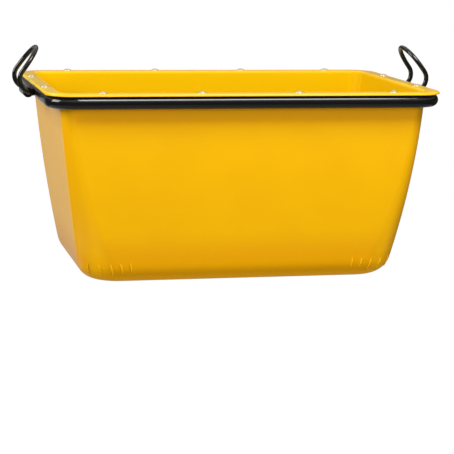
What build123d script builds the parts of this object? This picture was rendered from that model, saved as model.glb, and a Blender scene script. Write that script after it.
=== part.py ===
from build123d import *
import os
from math import cos, pi, radians, sin, sqrt

# Cement tub: a moulded plastic tub whose flange is riveted to a ring of round steel tube,
# with a hinged lifting bail at each short end.
# Millimetres. X runs along the tub, Y across it, Z up; the origin is under the middle of the floor.

# Moulded tub
tub_height = 480.0
flange_length = 1000.0
flange_width = 660.0
flange_thickness = 7.0
flange_corner_radius = 65.0
flange_top_edge_radius = 5.4
flange_lower_edge_radius = 1.2
flange_root_radius = 3.0
rim_inner_radius = 8.0
rim_corner_ease = 9.0
end_taper = 66.0
side_taper = 34.0
wall_belly = 6.0
waist_corner_radius = 48.0
base_corner_radius = 100.0
base_edge_radius = 53.0
wall_thickness = 5.0
floor_thickness = 6.0

# Low ribs round each bottom corner
rib_width = 4.0
rib_height = 2.0
rib_bottom = 20.0
rib_top = 52.0
wall_rib_count = 2
wall_rib_lead = 11.0
wall_rib_pitch = 24.5
corner_rib_count = 3
corner_rib_first_angle = 18.0
corner_rib_step_angle = 17.0

# Ring frame of round tube under the flange
tube_diameter = 31.8
tube_wall = 2.0
tube_bend_radius = 62.0
tube_to_wall_gap = 2.2
tube_seat_gap = 0.2

# Blind rivets through the flange and the top of the tube
long_side_rivets = 4
long_side_rivet_margin = 135.0
short_side_rivets = 2
short_side_rivet_margin = 188.5
rivet_shank_diameter = 6.4
rivet_hole_clearance = 0.1
rivet_head_diameter = 22.0
rivet_head_height = 5.0
rivet_bulb_flare = 1.6
rivet_bulb_length = 5.0
rivet_bulb_gap = 0.2
mandrel_diameter = 3.2
mandrel_clearance = 0.05
mandrel_recess = 0.8
mandrel_head_diameter = 5.4

# Lifting bails and their pivot sleeves
bail_bar_diameter = 12.0
bail_spread = 126.0
bail_start_angle = 38.0
bail_lean_angle = 36.0
bail_elbow_radius = 33.0
bail_leg_length = 7.5
bail_stub_inner_radius = 7.0
bail_stub_gap = 28.0
sleeve_wall = 6.7
sleeve_bore_clearance = 0.3
sleeve_end_gap = 2.0
sleeve_end_chamfer = 1.0
sleeve_to_tube_gap = 1.0
weld_root = 2.0
weld_rise = 9.5
weld_end_margin = 8.0
weld_seat_gap = 0.05

# The flange reaches over the whole tube, so the tub's wall stands inside it
flange_overhang = tube_diameter + tube_to_wall_gap
rim_length = flange_length - 2 * flange_overhang
rim_width = flange_width - 2 * flange_overhang
rim_corner_radius = flange_corner_radius - flange_overhang + rim_corner_ease
base_length = rim_length - 2 * end_taper
base_width = rim_width - 2 * side_taper
waist_length = (rim_length + base_length) / 2 + 2 * wall_belly
waist_width = (rim_width + base_width) / 2 + 2 * wall_belly
wall_sections = [
    (0.0, base_length, base_width, base_corner_radius),
    (tub_height / 2, waist_length, waist_width, waist_corner_radius),
    (tub_height, rim_length, rim_width, rim_corner_radius),
]
flange_underside = tub_height - flange_thickness

# Centre line of the ring frame, flush with the flange's edge
tube_radius = tube_diameter / 2
tube_bore_radius = tube_radius - tube_wall
tube_x = flange_length / 2 - tube_radius
tube_y = flange_width / 2 - tube_radius
tube_z = flange_underside - tube_seat_gap - tube_radius
bend_axis_x = tube_x - tube_bend_radius
bend_axis_y = tube_y - tube_bend_radius

# Rivet places along each side, over the tube's centre line
long_pitch = (flange_length - 2 * long_side_rivet_margin) / (long_side_rivets - 1)
short_pitch = (flange_width - 2 * short_side_rivet_margin) / (short_side_rivets - 1)
long_places = [(i - (long_side_rivets - 1) / 2) * long_pitch for i in range(long_side_rivets)]
short_places = [(i - (short_side_rivets - 1) / 2) * short_pitch for i in range(short_side_rivets)]
rivet_places = {
    "front": [(x, -tube_y) for x in long_places],
    "back": [(x, tube_y) for x in long_places],
    "left": [(-tube_x, y) for y in short_places],
    "right": [(tube_x, y) for y in short_places],
}
rivet_hole_radius = rivet_shank_diameter / 2 + rivet_hole_clearance

# Pivot of the right-hand bail, outside the short tube
sleeve_bore_radius = bail_bar_diameter / 2 + sleeve_bore_clearance
sleeve_radius = sleeve_bore_radius + sleeve_wall
pivot_x = flange_length / 2 + sleeve_to_tube_gap + sleeve_radius
pivot_z = tube_z
bail_leg_y = bail_spread / 2
bail_stub_bend_radius = bail_stub_inner_radius + bail_bar_diameter / 2
sleeve_length = 2 * (bail_leg_y - bail_stub_bend_radius - sleeve_end_gap)

os.makedirs("parts", exist_ok=True)


def finish_piece(piece, name):
    """Label a finished piece and write its STEP file."""
    piece.label = name
    export_step(piece, f"parts/{name}.step")
    print(name, len(piece.solids()), "solids", round(piece.volume), "mm3")


def wall_form(growth):
    """Solid form of the tub from underside to rim, its walls moved outwards by growth."""
    with BuildPart() as form:
        for level, length, width, radius in wall_sections:
            with BuildSketch(Plane.XY.offset(level)):
                RectangleRounded(length + 2 * growth, width + 2 * growth, radius + growth)
        loft()
    return form.part


outer_form = wall_form(0.0)
inner_form = wall_form(-wall_thickness)
rib_form = wall_form(rib_height)

# Space inside the tub, from the floor up, with its rounded bottom edge
with BuildPart() as cavity:
    add(inner_form)
    split(bisect_by=Plane.XY.offset(floor_thickness), keep=Keep.TOP)
    fillet(cavity.faces().sort_by(Axis.Z)[0].edges(), base_edge_radius - wall_thickness)

# Limit of the ribs: the tub's rounded form, moved out by their height
with BuildPart() as rib_limit:
    add(rib_form)
    fillet(rib_limit.faces().sort_by(Axis.Z)[0].edges(), base_edge_radius)

# Ribs of one bottom corner, upright slabs that follow its rounding, then mirrored to all four
corner_axis_x = base_length / 2 - base_corner_radius
corner_axis_y = base_width / 2 - base_corner_radius
rib_reach = base_corner_radius + end_taper + side_taper
rib_middle_z = (rib_bottom + rib_top) / 2
rib_spots = []
for i in range(wall_rib_count):
    rib_x = corner_axis_x + wall_rib_lead - i * wall_rib_pitch
    rib_spots.append(Location((rib_x, corner_axis_y, rib_middle_z)))
for i in range(corner_rib_count):
    rib_turn = corner_rib_first_angle + i * corner_rib_step_angle
    rib_spots.append(Location((corner_axis_x, corner_axis_y, rib_middle_z), (0, 0, -rib_turn)))
with BuildPart() as ribs:
    with Locations(*rib_spots):
        Box(rib_width, rib_reach, rib_top - rib_bottom, align=(Align.CENTER, Align.MIN, Align.CENTER))
    add(rib_limit.part, mode=Mode.INTERSECT)
    mirror(about=Plane.XZ)
    mirror(about=Plane.YZ)

# Flange plate with rounded edges, as wide as the ring frame below it
flange_top_rounding = min(flange_top_edge_radius, 0.78 * flange_thickness)
flange_lower_rounding = min(flange_lower_edge_radius, 0.18 * flange_thickness)
with BuildPart() as flange_plate:
    with BuildSketch(Plane.XY.offset(flange_underside)):
        RectangleRounded(flange_length, flange_width, flange_corner_radius)
    extrude(amount=flange_thickness)
    fillet(flange_plate.faces().sort_by(Axis.Z)[-1].edges(), flange_top_rounding)
    fillet(flange_plate.faces().sort_by(Axis.Z)[0].edges(), flange_lower_rounding)

with BuildPart() as tub_shell:
    add(outer_form)
    fillet(tub_shell.faces().sort_by(Axis.Z)[0].edges(), base_edge_radius)
    add(ribs.part)
    add(flange_plate.part)
    flange_seat = tub_shell.faces().filter_by(Axis.Z).sort_by(Axis.Z)[-2]
    fillet(flange_seat.inner_wires()[0].edges(), flange_root_radius)
    add(cavity.part, mode=Mode.SUBTRACT)
    rim_face = tub_shell.faces().filter_by(Axis.Z).sort_by(Axis.Z)[-1]
    fillet(rim_face.inner_wires()[0].edges(), rim_inner_radius)
    for places in rivet_places.values():
        with Locations(*[(x, y, flange_underside) for x, y in places]):
            Cylinder(rivet_hole_radius, 4 * flange_thickness, mode=Mode.SUBTRACT)
finish_piece(tub_shell.part, "tub_shell")
print("the tub holds", round(cavity.part.volume / 1e6), "litres")

# Straight runs of the ring frame, each with rivet holes through its top wall
tube_runs = {
    "front": (Plane.YZ, (0.0, -tube_y, tube_z), bend_axis_x),
    "back": (Plane.YZ, (0.0, tube_y, tube_z), bend_axis_x),
    "left": (Plane.XZ, (-tube_x, 0.0, tube_z), bend_axis_y),
    "right": (Plane.XZ, (tube_x, 0.0, tube_z), bend_axis_y),
}
for side, (section_plane, middle, half_length) in tube_runs.items():
    with BuildPart() as frame_tube:
        with BuildSketch(Plane(origin=middle, x_dir=section_plane.x_dir, z_dir=section_plane.z_dir)):
            Circle(tube_radius)
            Circle(tube_bore_radius, mode=Mode.SUBTRACT)
        extrude(amount=half_length, both=True)
        with Locations(*[(x, y, tube_z) for x, y in rivet_places[side]]):
            Cylinder(
                rivet_hole_radius,
                tube_diameter,
                align=(Align.CENTER, Align.CENTER, Align.MIN),
                mode=Mode.SUBTRACT,
            )
    finish_piece(frame_tube.part, f"frame_tube_{side}")

# Quarter bends of the ring frame; the angle is where each bend begins round its own axis
bend_corners = {
    "front_left": (-1, -1, 180),
    "front_right": (1, -1, 270),
    "back_right": (1, 1, 0),
    "back_left": (-1, 1, 90),
}
for corner, (x_sign, y_sign, first_angle) in bend_corners.items():
    bend_axis = Axis((x_sign * bend_axis_x, y_sign * bend_axis_y, 0), (0, 0, 1))
    radial = Vector(cos(radians(first_angle)), sin(radians(first_angle)), 0)
    section_centre = bend_axis.position + radial * tube_bend_radius + Vector(0, 0, tube_z)
    with BuildPart() as frame_bend:
        with BuildSketch(Plane(origin=section_centre, x_dir=radial, z_dir=radial.cross(Vector(0, 0, 1)))):
            Circle(tube_radius)
            Circle(tube_bore_radius, mode=Mode.SUBTRACT)
        revolve(axis=bend_axis, revolution_arc=90)
    finish_piece(frame_bend.part, f"frame_bend_{corner}")

# One blind rivet, its head seated at Z 0; the bulb hangs clear below the tube's curved top wall
rivet_head_radius = rivet_head_diameter / 2
rivet_shank_radius = rivet_shank_diameter / 2
rivet_bulb_radius = rivet_shank_radius + rivet_bulb_flare
rivet_bore_radius = mandrel_diameter / 2 + mandrel_clearance
dome_radius = (rivet_head_radius**2 + rivet_head_height**2) / (2 * rivet_head_height)
dome_centre_z = rivet_head_height - dome_radius
dome_top_z = dome_centre_z + sqrt(dome_radius**2 - rivet_bore_radius**2)
bore_sag = tube_bore_radius - sqrt(tube_bore_radius**2 - rivet_bulb_radius**2)
bulb_top_z = -(flange_thickness + tube_seat_gap + tube_wall + bore_sag + rivet_bulb_gap)
bulb_round = rivet_bulb_flare / 2
bulb_bottom_z = bulb_top_z - rivet_bulb_length
with BuildPart() as rivet:
    with BuildSketch(Plane.XZ):
        with BuildLine():
            RadiusArc((rivet_bore_radius, dome_top_z), (rivet_head_radius, 0), dome_radius)
            Polyline(
                (rivet_head_radius, 0),
                (rivet_shank_radius, 0),
                (rivet_shank_radius, bulb_top_z),
                (rivet_bulb_radius - bulb_round, bulb_top_z),
                (rivet_bulb_radius, bulb_top_z - bulb_round),
                (rivet_bulb_radius, bulb_bottom_z + bulb_round),
                (rivet_bulb_radius - bulb_round, bulb_bottom_z),
                (rivet_bore_radius, bulb_bottom_z),
                (rivet_bore_radius, dome_top_z),
            )
        make_face()
    revolve(axis=Axis.Z)

# The broken mandrel that stays in the rivet, its head drawn up against the bulb
mandrel_radius = mandrel_diameter / 2
mandrel_head_radius = mandrel_head_diameter / 2
mandrel_top_z = dome_top_z - mandrel_recess
with BuildPart() as mandrel:
    with BuildSketch(Plane.XZ):
        with BuildLine():
            Polyline(
                (0, bulb_bottom_z - mandrel_head_radius),
                (0, mandrel_top_z),
                (mandrel_radius, mandrel_top_z),
                (mandrel_radius, bulb_bottom_z),
                (mandrel_head_radius, bulb_bottom_z),
            )
            RadiusArc(
                (mandrel_head_radius, bulb_bottom_z),
                (0, bulb_bottom_z - mandrel_head_radius),
                mandrel_head_radius,
            )
        make_face()
    revolve(axis=Axis.Z)

for side, places in rivet_places.items():
    seats = [(x, y, tub_height) for x, y in places]
    with BuildPart() as rivets:
        with Locations(*seats):
            add(rivet.part)
    finish_piece(rivets.part, f"rivets_{side}")
    with BuildPart() as rivet_mandrels:
        with Locations(*seats):
            add(mandrel.part)
    finish_piece(rivet_mandrels.part, f"rivet_mandrels_{side}")

# Pivot sleeve along the short side, open at both ends for the bail's turned-in ends
pivot_plane = Plane(origin=(pivot_x, 0, pivot_z), x_dir=(1, 0, 0), z_dir=(0, -1, 0))
with BuildPart() as bail_sleeve_right:
    with BuildSketch(pivot_plane):
        Circle(sleeve_radius)
        Circle(sleeve_bore_radius, mode=Mode.SUBTRACT)
    extrude(amount=sleeve_length / 2, both=True)
    sleeve_ends = bail_sleeve_right.faces().filter_by(Axis.Y)
    chamfer(sleeve_ends.edges(), sleeve_end_chamfer)
with BuildPart() as bail_sleeve_left:
    mirror(bail_sleeve_right.part, about=Plane.YZ)

# Weld beads that fill the grooves between sleeve and tube, above and below
bead_middle_z = (weld_root + weld_rise) / 2
bead_width = pivot_x - tube_x
with BuildPart() as sleeve_welds_right:
    with BuildSketch(Plane(origin=(tube_x, 0, tube_z), x_dir=(1, 0, 0), z_dir=(0, -1, 0))):
        with Locations((bead_width / 2, bead_middle_z), (bead_width / 2, -bead_middle_z)):
            Rectangle(bead_width, weld_rise - weld_root)
        Circle(tube_radius + weld_seat_gap, mode=Mode.SUBTRACT)
        with Locations((bead_width, 0)):
            Circle(sleeve_radius + weld_seat_gap, mode=Mode.SUBTRACT)
    extrude(amount=sleeve_length / 2 - weld_end_margin, both=True)
with BuildPart() as sleeve_welds_left:
    mirror(sleeve_welds_right.part, about=Plane.YZ)

# Bail of round bar: a turned-in end, an elbow, a short leg leaning inwards and half of the crown, mirrored
start_angle = radians(bail_start_angle)
lean_angle = radians(90 + bail_lean_angle)
start_way = Vector(cos(start_angle), 0, sin(start_angle))
lean_way = Vector(cos(lean_angle), 0, sin(lean_angle))
start_normal = Vector(-sin(start_angle), 0, cos(start_angle))
lean_normal = Vector(-sin(lean_angle), 0, cos(lean_angle))
stub_end = Vector(pivot_x, bail_leg_y - bail_stub_bend_radius, pivot_z)
stub_start = Vector(pivot_x, bail_stub_gap / 2, pivot_z)
elbow_start = Vector(pivot_x, bail_leg_y, pivot_z) + start_way * bail_stub_bend_radius
elbow_end = elbow_start + (start_normal - lean_normal) * bail_elbow_radius
crown_start = elbow_end + lean_way * bail_leg_length
crown_top = crown_start + lean_way * bail_leg_y - Vector(0, bail_leg_y, 0)
with BuildPart() as bail_right:
    with BuildLine() as bail_path:
        Line(stub_start, stub_end)
        TangentArc(stub_end, elbow_start, tangent=(0, 1, 0))
        TangentArc(elbow_start, elbow_end, tangent=start_way)
        Line(elbow_end, crown_start)
        TangentArc(crown_start, crown_top, tangent=lean_way)
        mirror(about=Plane.XZ)
    with BuildSketch(Plane(origin=stub_start, z_dir=(0, 1, 0))):
        Circle(bail_bar_diameter / 2)
    sweep()
with BuildPart() as bail_left:
    mirror(bail_right.part, about=Plane.YZ)

finish_piece(bail_sleeve_right.part, "bail_sleeve_right")
finish_piece(bail_sleeve_left.part, "bail_sleeve_left")
finish_piece(sleeve_welds_right.part, "sleeve_welds_right")
finish_piece(sleeve_welds_left.part, "sleeve_welds_left")
finish_piece(bail_right.part, "bail_right")
finish_piece(bail_left.part, "bail_left")
bar_length = sum(edge.length for edge in bail_path.edges())
bar_volume = pi * (bail_bar_diameter / 2) ** 2 * bar_length
print("bail bar length", round(bar_length, 1), "mm, section times length", round(bar_volume), "mm3")
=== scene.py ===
# %% [markdown]
# # A mortar tub with a ring frame and lifting bails
# The tub is one yellow plastic moulding. Its flange is riveted to a ring of black tube, and a bail of
# bent bar hinges at each short end. The CAD frame gives the places and the outer sizes; this lesson gives
# each piece a clean mesh and a finish, one step at a time.

# %% Load the frame and keep its box
from math import atan, cos, pi, radians, sin, sqrt

import bmesh
import bpy
from mathutils import Matrix, Vector


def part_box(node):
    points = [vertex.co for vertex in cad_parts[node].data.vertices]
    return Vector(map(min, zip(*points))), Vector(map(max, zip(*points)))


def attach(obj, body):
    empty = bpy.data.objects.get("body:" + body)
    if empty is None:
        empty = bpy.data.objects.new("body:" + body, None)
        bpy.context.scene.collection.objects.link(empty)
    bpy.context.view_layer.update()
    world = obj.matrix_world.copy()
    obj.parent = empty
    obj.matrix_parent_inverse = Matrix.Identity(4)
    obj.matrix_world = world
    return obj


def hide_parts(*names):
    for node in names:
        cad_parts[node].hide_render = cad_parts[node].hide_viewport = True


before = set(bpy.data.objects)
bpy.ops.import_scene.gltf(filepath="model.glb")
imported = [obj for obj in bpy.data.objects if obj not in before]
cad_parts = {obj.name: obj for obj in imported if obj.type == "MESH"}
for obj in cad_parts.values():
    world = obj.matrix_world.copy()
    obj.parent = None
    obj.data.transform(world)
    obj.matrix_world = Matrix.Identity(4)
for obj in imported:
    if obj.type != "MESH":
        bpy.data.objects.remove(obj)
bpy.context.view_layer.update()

MM = 0.001
scene = bpy.context.scene

# %% [markdown]
# ## Writing nodes as sums
# Both the finishes and the shapes are made of nodes. A small class stands for a node's output, so that
# a sum such as 1 - mask adds the Math node by itself, and a name in brackets gives another output of
# the same node. One method adds every other node: it takes the type, the sockets, the output and the
# settings. Short names stand for nodes that come up often.

# %% Node helpers


class Wire:
    """The output of a node. Sums with it add Math nodes to its tree."""

    def __init__(self, graph, socket):
        self.graph = graph
        self.socket = socket

    def __getitem__(self, name):
        """Another output of the same node."""
        return Wire(self.graph, self.socket.node.outputs[name])

    def math(self, operation, *values):
        return self.graph.add("ShaderNodeMath", values, operation=operation)

    def __add__(self, value):
        return self.math("ADD", self, value)

    def __sub__(self, value):
        return self.math("SUBTRACT", self, value)

    def __mul__(self, value):
        return self.math("MULTIPLY", self, value)

    def __truediv__(self, value):
        return self.math("DIVIDE", self, value)

    def __rsub__(self, value):
        return self.math("SUBTRACT", value, self)

    __radd__ = __add__

    def at_least(self, value):
        return self.math("MAXIMUM", self, value)

    def at_most(self, value):
        return self.math("MINIMUM", self, value)

    def call(self, operation):
        return self.math(operation, self)


class Graph:
    """A node tree with one way to add a node."""

    def __init__(self, tree):
        self.tree = tree

    def add(self, kind, sockets=(), out=0, **settings):
        """A new node, as the wire from its output out."""
        node = self.tree.nodes.new(kind)
        for name, value in settings.items():
            setattr(node, name, value)
        places = sockets.items() if isinstance(sockets, dict) else enumerate(sockets)
        for place, value in places:
            if isinstance(value, Wire):
                self.tree.links.new(value.socket, node.inputs[place])
            else:
                node.inputs[place].default_value = value
        return Wire(self, node.outputs[out]) if node.outputs else None

    def mix(self, share, first, second):
        """A colour between two others."""
        return self.add("ShaderNodeMix", {0: share, 6: first, 7: second}, 2, data_type="RGBA")

    def step(self, value, low, high):
        """0 below low, 1 above high and a smooth rise between."""
        sockets = {"Value": value, "From Min": low, "From Max": high}
        return self.add("ShaderNodeMapRange", sockets, interpolation_type="SMOOTHSTEP")

    def noise(self, place, scale, detail=2.0, roughness=0.5):
        sockets = {"Vector": place, "Scale": scale, "Detail": detail, "Roughness": roughness}
        return self.add("ShaderNodeTexNoise", sockets)

    def stretched(self, place, scale):
        """The same place with each axis scaled, so that a pattern runs along one of them."""
        return self.add("ShaderNodeMapping", {"Vector": place, "Scale": scale})

    def bump(self, height, strength, distance, under=None):
        """A normal bent by a height, over the bump under it if there is one."""
        sockets = {"Height": height, "Strength": strength, "Distance": distance}
        return self.add("ShaderNodeBump", sockets | ({"Normal": under} if under else {}))

    def place(self):
        """Where a point lies on its own object."""
        return self.add("ShaderNodeTexCoord", (), "Object")

    def split(self, vector):
        """The X of a vector. Its Y and Z are other outputs of the same node."""
        return self.add("ShaderNodeSeparateXYZ", [vector])

    def join(self, *parts):
        """A vector of three parts."""
        return self.add("ShaderNodeCombineXYZ", parts)

    def index(self):
        return self.add("GeometryNodeInputIndex")

    def point(self, geometry, index):
        """The place of one point of a geometry."""
        sockets = {"Geometry": geometry, "Value": self.add("GeometryNodeInputPosition"), "Index": index}
        return self.add("GeometryNodeSampleIndex", sockets, data_type="FLOAT_VECTOR")

    def chance(self, low, high, seed):
        """A random number for each point."""
        sockets = {2: low, 3: high, "ID": self.index(), "Seed": seed}
        return self.add("FunctionNodeRandomValue", sockets, 1, data_type="FLOAT")


print("node helpers ready")

# %% [markdown]
# ## Finishes
# The tub is smooth moulded polyethylene: one strong yellow, a soft sheen and a surface that is never
# quite flat. Mortar scours its inside dull and the ground scrapes its foot, so a Mix Shader goes from a
# glossy plastic to a dull one there. Light and shade are painted into the yellow: painted shade makes it
# deeper under the frame and darker at the upright corners, towards the foot and inside, painted light
# makes it paler at the lower corners, the very foot, the ribs and the flange's edges, and the flange's
# tops at the ends carry a painted reflection and shade in a duller tan. The steel is powder coated
# black, with the fine orange peel of such a coat. The rivets are plain aluminium gone dull, and the
# broken stems in them are zinc-plated steel. Each finish is made from noise in object space and from
# where and how the surface lies on the piece, so nothing slides when a bail swings.

# %% The yellows
YELLOW = (0.86, 0.442, 0.0004, 1.0)
YELLOW_CLOUD = (0.84, 0.424, 0.0002, 1.0)
# Painted shade under the frame: a deeper, more orange yellow on the long sides and a darker one on the ends.
YELLOW_SHADED = (1.0, 0.446, 0.0002, 1.0)
YELLOW_SHADED_END = (0.70, 0.335, 0.0002, 1.0)
# Painted shade: a darker yellow towards the foot.
YELLOW_LOW_PAINTED_SHADE = (0.78, 0.353, 0.0002, 1.0)
# Painted shade: a darker yellow on the upright corners.
YELLOW_UPRIGHT_PAINTED_SHADE = (0.80, 0.385, 0.0003, 1.0)
# Painted light: a paler yellow on the lower corners.
YELLOW_CORNER_PAINTED_LIGHT = (0.92, 0.455, 0.0004, 1.0)
# Painted light: a brighter yellow at the very foot.
YELLOW_FOOT_PAINTED_LIGHT = (1.0, 0.46, 0.0004, 1.0)
# The inside is painted shade, a darker yellow than the outside and darker still at its corners; its ends and
# its left are painted lighter.
INSIDE_YELLOW_PAINTED_SHADE = (0.66, 0.400, 0.0003, 1.0)
INSIDE_END_YELLOW_PAINTED_LIGHT = (0.71, 0.412, 0.0003, 1.0)
INSIDE_CORNER_YELLOW_PAINTED_SHADE = (0.62, 0.360, 0.0003, 1.0)
INSIDE_LEFT_YELLOW_PAINTED_LIGHT = (0.74, 0.443, 0.0003, 1.0)
# Painted shade: a darker yellow on the long sides' brim.
YELLOW_BRIM_PAINTED_SHADE = (0.74, 0.370, 0.0004, 1.0)
# Painted reflection and shade: a duller tan yellow on the flange's tops at the ends.
YELLOW_END_TOP_PAINTED = (0.70, 0.445, 0.035, 1.0)
# Painted highlight: a paler yellow on the lips at the ends.
YELLOW_LIP_PAINTED_HIGHLIGHT = (0.86, 0.60, 0.03, 1.0)
# Pale yellow for real scuffs and drag marks, and also a painted highlight on the ribs and painted light on
# the flange's edges.
YELLOW_SCUFF_AND_HIGHLIGHT = (1.0, 0.57, 0.008, 1.0)

# Each mask rises from 0 to 1 between two values. First heights, then places along and across the tub.
FOOT_RISE = (5 * MM, 25 * MM)
SCUFF_RISE = (0.0, 60 * MM)
SCRAPE_RISE = (30 * MM, 130 * MM)
LOW_RISE = (60 * MM, 140 * MM)
CORNER_RISE = (120 * MM, 280 * MM)
UPRIGHT_FOOT = (60 * MM, 150 * MM)
UPRIGHT_TOP = (380 * MM, 430 * MM)
SHADE_RISE = (370 * MM, 430 * MM)
RIM_RISE = (470 * MM, 474 * MM)
LEFT_ALONG = (-450 * MM, -330 * MM)
END_ALONG = (455 * MM, 470 * MM)
LIP_ALONG = (480 * MM, 492 * MM)
END_ACROSS = (240 * MM, 290 * MM)
SIDE_ACROSS = (316 * MM, 326 * MM)

# The X part of the normal is 0 on a long side and nearly 1 on a short end.
SHADED_END_TURN = (0.1, 0.6)
CORNER_TURN = (0.04, 0.42)
CORNER_BACK = (0.45, 0.85)
UPRIGHT_TURN = (0.2, 0.85)
UPRIGHT_BACK = (0.94, 0.972)
HOLLOW_CORNER_TURN = (0.15, 0.5)
HOLLOW_END_TURN = (0.86, 0.97)
SCRAPE_TURN = (0.75, 0.97)

# Its Z part is 1 on top of the flange and 0 on its edge.
FLAT_TILT = (0.88, 0.985)
BRIM_TILT = (0.2, 0.5)
LIP_TILT = (-0.3, 0.2)
EDGE_TILT = (-0.4, -0.1)
print("16 yellows and where they change")

# %% Yellow moulded plastic
PLASTIC_ROUGHNESS = 0.18
PLASTIC_SHINE = 0.25
SCOURED_SHINE = 0.04
CLOUD_SCALE = 7.0
CLOUDED = (0.35, 0.70)
DRAG_STRETCH = (110.0, 110.0, 5.0)
DRAGGED = (0.62, 0.80)
SCUFF_STRETCH = (40.0, 40.0, 160.0)
SCUFFED = (0.60, 0.78)
WAVE_SCALE = 9.0
WAVE_DEPTH = 1.2 * MM
SKIN_SCALE = 900.0
SKIN_DEPTH = 0.2 * MM
INSIDE_MARK = "inside"


def new_material(name):
    """A material with an empty tree, and the graph that fills it."""
    material = bpy.data.materials.new(name)
    material.use_nodes = True
    material.node_tree.nodes.clear()
    return material, Graph(material.node_tree)


def shade(graph, sockets):
    """End a material's tree in one Principled shader."""
    shader = graph.add("ShaderNodeBsdfPrincipled", sockets)
    graph.add("ShaderNodeOutputMaterial", {"Surface": shader})


def wall_colour(graph, height, turned_out, cloud):
    """The outside's yellow: painted shade under the frame, at the upright corners and towards the foot,
    painted light at the lower corners and the foot.
    """
    colour = graph.mix(graph.step(cloud, *CLOUDED), YELLOW, YELLOW_CLOUD)
    shaded = graph.mix(graph.step(turned_out, *SHADED_END_TURN), YELLOW_SHADED, YELLOW_SHADED_END)
    under_frame = graph.step(height, *SHADE_RISE) - graph.step(height, *RIM_RISE)
    colour = graph.mix(under_frame, colour, shaded)
    colour = graph.mix(1 - graph.step(height, *LOW_RISE), colour, YELLOW_LOW_PAINTED_SHADE)
    corners = graph.step(turned_out, *CORNER_TURN) - graph.step(turned_out, *CORNER_BACK)
    corners = corners * (1 - graph.step(height, *CORNER_RISE))
    colour = graph.mix(corners, colour, YELLOW_CORNER_PAINTED_LIGHT)
    uprights = graph.step(turned_out, *UPRIGHT_TURN) * (1 - graph.step(turned_out, *UPRIGHT_BACK))
    uprights = uprights * (graph.step(height, *UPRIGHT_FOOT) - graph.step(height, *UPRIGHT_TOP))
    colour = graph.mix(uprights, colour, YELLOW_UPRIGHT_PAINTED_SHADE)
    return graph.mix(1 - graph.step(height, *FOOT_RISE), colour, YELLOW_FOOT_PAINTED_LIGHT)


def inside_painted_shading(graph, axes, turned_out):
    """The inside's yellow: a darker copy painted as shade, painted darker at its corners and lighter at its
    ends and its left.
    """
    colour = graph.mix(graph.step(turned_out, *HOLLOW_CORNER_TURN), INSIDE_YELLOW_PAINTED_SHADE, INSIDE_CORNER_YELLOW_PAINTED_SHADE)
    colour = graph.mix(graph.step(turned_out, *HOLLOW_END_TURN), colour, INSIDE_END_YELLOW_PAINTED_LIGHT)
    return graph.mix(graph.step(axes, *LEFT_ALONG), INSIDE_LEFT_YELLOW_PAINTED_LIGHT, colour)


def yellow_plastic(name, painted_pale):
    """Moulded plastic. The second argument paints that share of pale yellow all over, a painted highlight,
    besides the edges' painted light and the real scuffs.
    """
    material, graph = new_material(name)
    place = graph.place()
    axes = graph.split(place)
    along = axes.call("ABSOLUTE")
    across = axes["Y"].call("ABSOLUTE")
    height = axes["Z"]
    facing = graph.split(graph.add("ShaderNodeNewGeometry", (), "Normal"))
    turned_out = facing.call("ABSOLUTE")
    up = facing["Z"]
    cloud = graph.noise(place, CLOUD_SCALE, 3.0)
    drag = graph.noise(graph.stretched(place, DRAG_STRETCH), 1.0, 3.0, 0.6)
    scuff = graph.noise(graph.stretched(place, SCUFF_STRETCH), 1.0, 5.0, 0.65)
    low_band = 1 - graph.step(height, *SCUFF_RISE)
    rim_band = graph.step(height, *RIM_RISE)
    ends = rim_band * graph.step(along, *END_ALONG) * (1 - graph.step(across, *END_ACROSS))
    sides = rim_band * graph.step(across, *SIDE_ACROSS)
    flat = graph.step(up, *FLAT_TILT)
    lips = ends * (graph.step(up, *LIP_TILT) - flat)
    # Painted light on the flange's edges: the end lips and the long sides' lower face.
    edges = lips * 0.2 + sides * graph.step(up, *EDGE_TILT) * 0.8
    scuffs = graph.step(scuff, *SCUFFED) * (low_band * 0.4 + rim_band * 0.35 + 0.06)
    marks = graph.step(drag, *DRAGGED) * 0.08
    inside = graph.add("ShaderNodeAttribute", (), "Fac", attribute_name=INSIDE_MARK)
    colour = wall_colour(graph, height, turned_out, cloud)
    # The inside takes its painted shade and painted light.
    colour = graph.mix(inside, colour, inside_painted_shading(graph, axes, turned_out))
    # Painted reflection and shade on the flange's tops at the ends.
    colour = graph.mix(ends * flat, colour, YELLOW_END_TOP_PAINTED)
    # Real scuffs and drag marks, painted light on the edges and the ribs' painted highlight turn the yellow
    # pale.
    colour = graph.mix((scuffs + marks + edges + painted_pale).at_most(1.0), colour, YELLOW_SCUFF_AND_HIGHLIGHT)
    # Painted highlight on the lips at the ends.
    colour = graph.mix(lips * graph.step(along, *LIP_ALONG), colour, YELLOW_LIP_PAINTED_HIGHLIGHT)
    # Painted shade on the long sides' brim.
    colour = graph.mix(sides * graph.step(up, *BRIM_TILT), colour, YELLOW_BRIM_PAINTED_SHADE)
    scraped = (1 - graph.step(height, *SCRAPE_RISE)) * (1 - graph.step(turned_out, *SCRAPE_TURN))
    scoured = (inside + scraped).at_most(1.0)
    roughness = PLASTIC_ROUGHNESS + cloud * 0.06 + scuffs * 0.30 + marks * 0.6 + scoured * 0.2
    relief = graph.bump(graph.noise(place, WAVE_SCALE), 0.5, WAVE_DEPTH)
    relief = graph.bump(graph.noise(place, SKIN_SCALE), 0.12, SKIN_DEPTH, relief)
    sockets = {"Base Color": colour, "Roughness": roughness, "Normal": relief}
    shaders = []
    for shine in (PLASTIC_SHINE, SCOURED_SHINE):
        shaders.append(graph.add("ShaderNodeBsdfPrincipled", sockets | {"Specular IOR Level": shine}))
    both = graph.add("ShaderNodeMixShader", [scoured, *shaders])
    graph.add("ShaderNodeOutputMaterial", {"Surface": both})
    return material


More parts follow.
